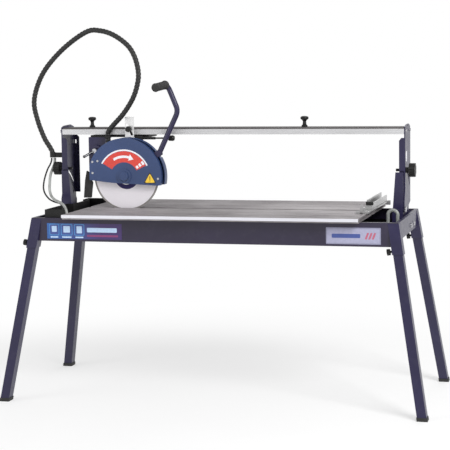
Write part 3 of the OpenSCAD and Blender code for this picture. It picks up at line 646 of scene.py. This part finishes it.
HANDLE_R = 0.0097
HANDLE_BEND = 0.026
HANDLE_STEP = 0.003
CORNER_STEPS = 10
HANDLE = [(-0.252, -0.005, 0.873), (-0.177, -0.008, 1.026), (-0.214, -0.016, 1.122), (-0.229, -0.116, 1.112)]
TAB = ((-0.021, -0.011), (0.006, -0.011), (0.012, 0), (0.006, 0.011), (-0.021, 0.011))
TAB_PLACES = (-0.013, 0.003)     # of the two tabs that hold the handle, from the handle's middle
TAB_THICK = 0.0035
GRIP_RIBS = 11
GRIP_MARGIN = 0.010              # plain length at each end of the grip


def rounded_corners(points, radius):
    """The line through the points with each inner corner rounded."""
    points = [Vector(p) for p in points]
    out = [points[0]]
    for before, corner, after in zip(points, points[1:], points[2:]):
        a, b = (before - corner).normalized(), (after - corner).normalized()
        cut = radius / max(0.2, (1 - a.dot(b)) ** 0.5)
        start, end = corner + a * cut, corner + b * cut
        for i in range(CORNER_STEPS + 1):
            t = i / CORNER_STEPS
            out.append(start * (1 - t) ** 2 + corner * 2 * t * (1 - t) + end * t * t)
    return out + [points[-1]]


def handle():
    """The bent tube, the two tabs that hold it and the ribbed grip."""
    line = rounded_corners(HANDLE, HANDLE_BEND)
    tube("handle_bar", even_points(line, HANDLE_STEP), HANDLE_R, navy, "saw_head", 28, slot="frame_paint",
         replaces=["handle_tube"])
    bm = bmesh.new()
    start = Vector(HANDLE[0])
    out = (Vector(HANDLE[0]) - HUB).normalized()
    across = Vector((-out.z, 0, out.x))
    for along in TAB_PLACES:
        outline = []
        for u, v in TAB:
            p = start + out * u + across * v
            outline.append((p.x, p.z))
        add_plate(bm, outline, start.y + along, start.y + along + TAB_THICK)
    tabs = piece("handle_bracket", to_mesh("handle_bracket", bm), navy, "saw_head", slot="frame_paint")
    soften(tabs, 0.0006)
    top, end = Vector(HANDLE[2]), Vector(HANDLE[3])
    start = top + (end - top) * 0.15
    length = (end - start).length
    ribbed = length - 2 * GRIP_MARGIN
    width = ribbed / GRIP_RIBS
    profile = [(0, HANDLE_R), (0, 0.0155), (0.004, 0.0165), (0.008, 0.0150)]
    for i in range(GRIP_RIBS):
        at = GRIP_MARGIN + ribbed * i / GRIP_RIBS
        profile += [(at, 0.0148), (at + width * 0.18, 0.0136),
                    (at + width * 0.42, 0.0136), (at + width * 0.6, 0.0148)]
    profile += [(length - 0.007, 0.0150), (length - 0.004, 0.0158), (length, 0.0140),
                (length + 0.0012, 0.009), (length + 0.0014, 0.001)]
    lathe("handle_grip", start, end - top, profile, soft_black, "saw_head", 40, slot="black_rubber",
          replaces=["grip"])


handle()

# ---------------------------------------------------------------- printed signs

GUARD_BOSS = 0.007               # the boss at the hub stands this far in front of the guard's face
GUARD_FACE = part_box("guard_front")[0].y + GUARD_BOSS
SIGN_GAP = 0.00005
SIGN_LAYER = 0.00015             # from one layer of print to the next
SIGN_THICK = 0.00012
TRIANGLE_AT = (-0.283, 0.777)


def sign(name, outline, layer, material, body="saw_head", slot="guard_paint", face=GUARD_FACE):
    """A thin printed shape in the x, z plane, in front of a face and of the layers below it."""
    back = face - SIGN_GAP - SIGN_LAYER * layer
    bm = bmesh.new()
    add_plate(bm, outline, back - SIGN_THICK, back)
    piece(name, to_mesh(name, bm), material, body, slot=slot)


def rounded(x0, z0, x1, z1, radius):
    """A rectangle with round corners."""
    corners = ((x1 - radius, z1 - radius, 0), (x0 + radius, z1 - radius, 90),
               (x0 + radius, z0 + radius, 180), (x1 - radius, z0 + radius, 270))
    return [p for cx, cz, a in corners for p in arc(cx, cz, radius, a, a + 90, 6)]


def triangle(size, radius):
    """A triangle with round corners, point up. size is the distance from its middle to a corner's centre."""
    out = []
    for corner in (-30, 90, 210):
        px = TRIANGLE_AT[0] + size * cos(radians(corner))
        pz = TRIANGLE_AT[1] + size * sin(radians(corner))
        out += arc(px, pz, radius, corner - 60, corner + 60, 5)
    return out


def guard_signs():
    """A red band with a white edge, a turning arrow and ticks, and a yellow triangle with a bar and a dot."""
    x, z = HUB.x, HUB.z
    sign("band_red", ring_part(x, z, 0.054, 0.0945, 27, 149), 0, red_print)
    sign("band_edge", ring_part(x, z, 0.0955, 0.101, 25.5, 150.5), 0, white_print)
    sign("band_arrow_shaft", ring_part(x, z, 0.070, 0.079, 74, 122), 1, white_print)
    tip = [(x + r * cos(radians(a)), z + r * sin(radians(a)))
           for r, a in ((0.0625, 74), (0.0745, 60), (0.0865, 74))]
    sign("band_arrow_head", tip, 1, white_print)
    for i in range(3):
        out = 0.013 * i
        sign(f"band_tick_{i}", ring_part(x, z, 0.058 + out, 0.067 + out, 31, 40, 6), 1, white_print)
    sign("triangle", triangle(0.0215, 0.004), 0, black_print)
    sign("triangle_middle", triangle(0.0165, 0.0030), 1, yellow_print)
    sign("triangle_bar", rounded(-0.2845, 0.776, -0.2815, 0.789, 0.0012), 2, black_print)
    sign("triangle_dot", rounded(-0.2848, 0.7705, -0.2812, 0.7735, 0.0012), 2, black_print)


LABEL_EDGE = 0.0015
SQUARE_EDGE = 0.0022


def frame_labels():
    """Blank plates on the front panel: a blue one with plain squares and bars, and a grey one."""
    low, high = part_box("label_plates")
    common = {"body": "stand", "slot": "label", "face": low.y}
    whole = rounded(low.x, low.z + LABEL_EDGE, -0.320, high.z - LABEL_EDGE, 0.003)
    sign("label_left", whole, 0, label_blue, **common)
    for i, (x0, x1) in enumerate(((-0.592, -0.555), (-0.548, -0.505), (-0.498, -0.460))):
        sign(f"label_square_{i}", rounded(x0, 0.594, x1, 0.6345, 0.004), 1, label_light, **common)
        field = rounded(x0 + SQUARE_EDGE, 0.5962, x1 - SQUARE_EDGE, 0.6323, 0.003)
        sign(f"label_field_{i}", field, 2, label_ink, **common)
        inner = rounded(x0 + 0.009, 0.606 - 0.002 * i, x1 - 0.009, 0.627, 0.002)
        sign(f"label_inner_{i}", inner, 3, label_pale, **common)
        sign(f"label_line_{i}", rounded(x0 + 0.004, 0.585, x1 - 0.004, 0.590, 0.001), 1, label_pale, **common)
    sign("label_bar", rounded(-0.450, 0.606, -0.338, 0.622, 0.003), 1, label_pale, **common)
    sign("label_stripe", rounded(-0.450, 0.590, -0.334, 0.597, 0.001), 1, label_red, **common)
    sign("label_right_edge", rounded(0.412, 0.5805, 0.600, 0.6375, 0.003), 0, label_grey, **common)
    sign("label_right", rounded(0.416, 0.5845, 0.596, 0.6335, 0.002), 1, label_lilac, **common)
    sign("label_right_bar", rounded(0.432, 0.602, 0.530, 0.616, 0.003), 2, label_ink, **common)
    for i in range(3):
        x0, z0 = 0.545 + 0.012 * i, 0.598
        stripe = [(x0, z0), (x0 + 0.007, z0), (x0 + 0.015, z0 + 0.022), (x0 + 0.008, z0 + 0.022)]
        sign(f"label_right_stripe_{i}", stripe, 2, label_mark, **common)


TICK_HALF = 0.0004


def arm_scale():
    """A short angle scale on the right arm, without figures."""
    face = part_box("right_arm")[1].x
    bm = bmesh.new()
    strip = [(0.040, 0.842), (0.066, 0.842), (0.066, 0.878), (0.040, 0.878)]
    add_plate(bm, strip, face + 0.00004, face + 0.0002, "x")
    piece("arm_scale", to_mesh("arm_scale", bm), white_print, "bridge", slot="label")
    bm = bmesh.new()
    for i in range(9):
        z = 0.845 + 0.00375 * i
        near, far = 0.043, 0.043 + (0.016 if i % 4 == 0 else 0.009)
        low, high = z - TICK_HALF, z + TICK_HALF
        tick = [(near, low), (far, low), (far, high), (near, high)]
        add_plate(bm, tick, face + 0.00022, face + 0.0003, "x")
    piece("arm_scale_ticks", to_mesh("arm_scale_ticks", bm), black_print, "bridge", slot="label")


guard_signs()
frame_labels()
arm_scale()

# ---------------------------------------------------------------- stage and light

WORLD_LIGHT = 0.55               # the background's light on the object, where 1 is what the camera sees
LIGHTS = (                       # name, place, power in watts, size
    ("key", (3.4, -3.0, 3.6), 230, 2.2),
    ("fill", (-4.0, -3.5, 2.4), 60, 2.6),
    ("back", (0.5, 4.5, 3.6), 40, 2.6),
)
LIGHT_AIM = (0, 0, 0.8)
FLOOR_R = 60
FLOOR_SIDES = 96
FLOOR_THICK = 0.02
FLOOR_GLOW = 0.5                 # how much of the floor's light is its own, near the object
GLOW_STARTS, GLOW_FULL = 0.8, 2.0   # distances from the middle between which the floor turns to glow alone


def floor_material():
    """Pale near the object, where it takes shadows, and as bright as the background further out."""
    m = Nodes("pale_floor")
    x, y, _ = m.axes()
    far = m.math("SQRT", m.math("ADD", m.math("MULTIPLY", x, x), m.math("MULTIPLY", y, y)))
    spread = m.add("ShaderNodeMapRange", interpolation_type="SMOOTHSTEP")
    spread.inputs["From Min"].default_value = GLOW_STARTS
    spread.inputs["From Max"].default_value = GLOW_FULL
    m.link(far, spread.inputs["Value"])
    m.colour(m.ramp(m.noise(3, 2), (0.3, (0.93, 0.93, 0.93)), (0.7, (0.95, 0.95, 0.95))))
    m.set(Roughness=0.7)
    glow = m.add("ShaderNodeEmission")
    mix = m.add("ShaderNodeMixShader")
    m.link(m.range(spread.outputs["Result"], FLOOR_GLOW, 1.0), mix.inputs[0])
    m.link(m.shader.outputs[0], mix.inputs[1])
    m.link(glow.outputs[0], mix.inputs[2])
    m.link(mix.outputs[0], m.tree.nodes["Material Output"].inputs["Surface"])
    return m.material


def stage():
    """A round floor, a white background and the area lights."""
    bm = bmesh.new()
    turns = [2 * pi * i / FLOOR_SIDES for i in range(FLOOR_SIDES)]
    add_plate(bm, [(FLOOR_R * cos(turn), FLOOR_R * sin(turn)) for turn in turns], -FLOOR_THICK, 0, "z")
    floor = piece("floor", to_mesh("floor", bm), floor_material(), None)
    world = bpy.data.worlds.new("studio")
    bpy.context.scene.world = world
    world.use_nodes = True
    tree = world.node_tree
    background = tree.nodes["Background"]
    background.inputs["Color"].default_value = (1, 1, 1, 1)
    seen = tree.nodes.new("ShaderNodeLightPath")
    strength = tree.nodes.new("ShaderNodeMapRange")
    strength.inputs["To Min"].default_value = WORLD_LIGHT
    strength.inputs["To Max"].default_value = 1.0
    tree.links.new(seen.outputs["Is Camera Ray"], strength.inputs["Value"])
    tree.links.new(strength.outputs["Result"], background.inputs["Strength"])
    for name, place, power, size in LIGHTS:
        light = bpy.data.objects.new(name, bpy.data.lights.new(name, "AREA"))
        light.data.energy = power
        light.data.size = size
        light.location = place
        light.rotation_euler = (Vector(LIGHT_AIM) - light.location).to_track_quat("-Z", "Y").to_euler()
        collection.objects.link(light)
    bpy.context.scene.view_settings.view_transform = "Standard"


stage()
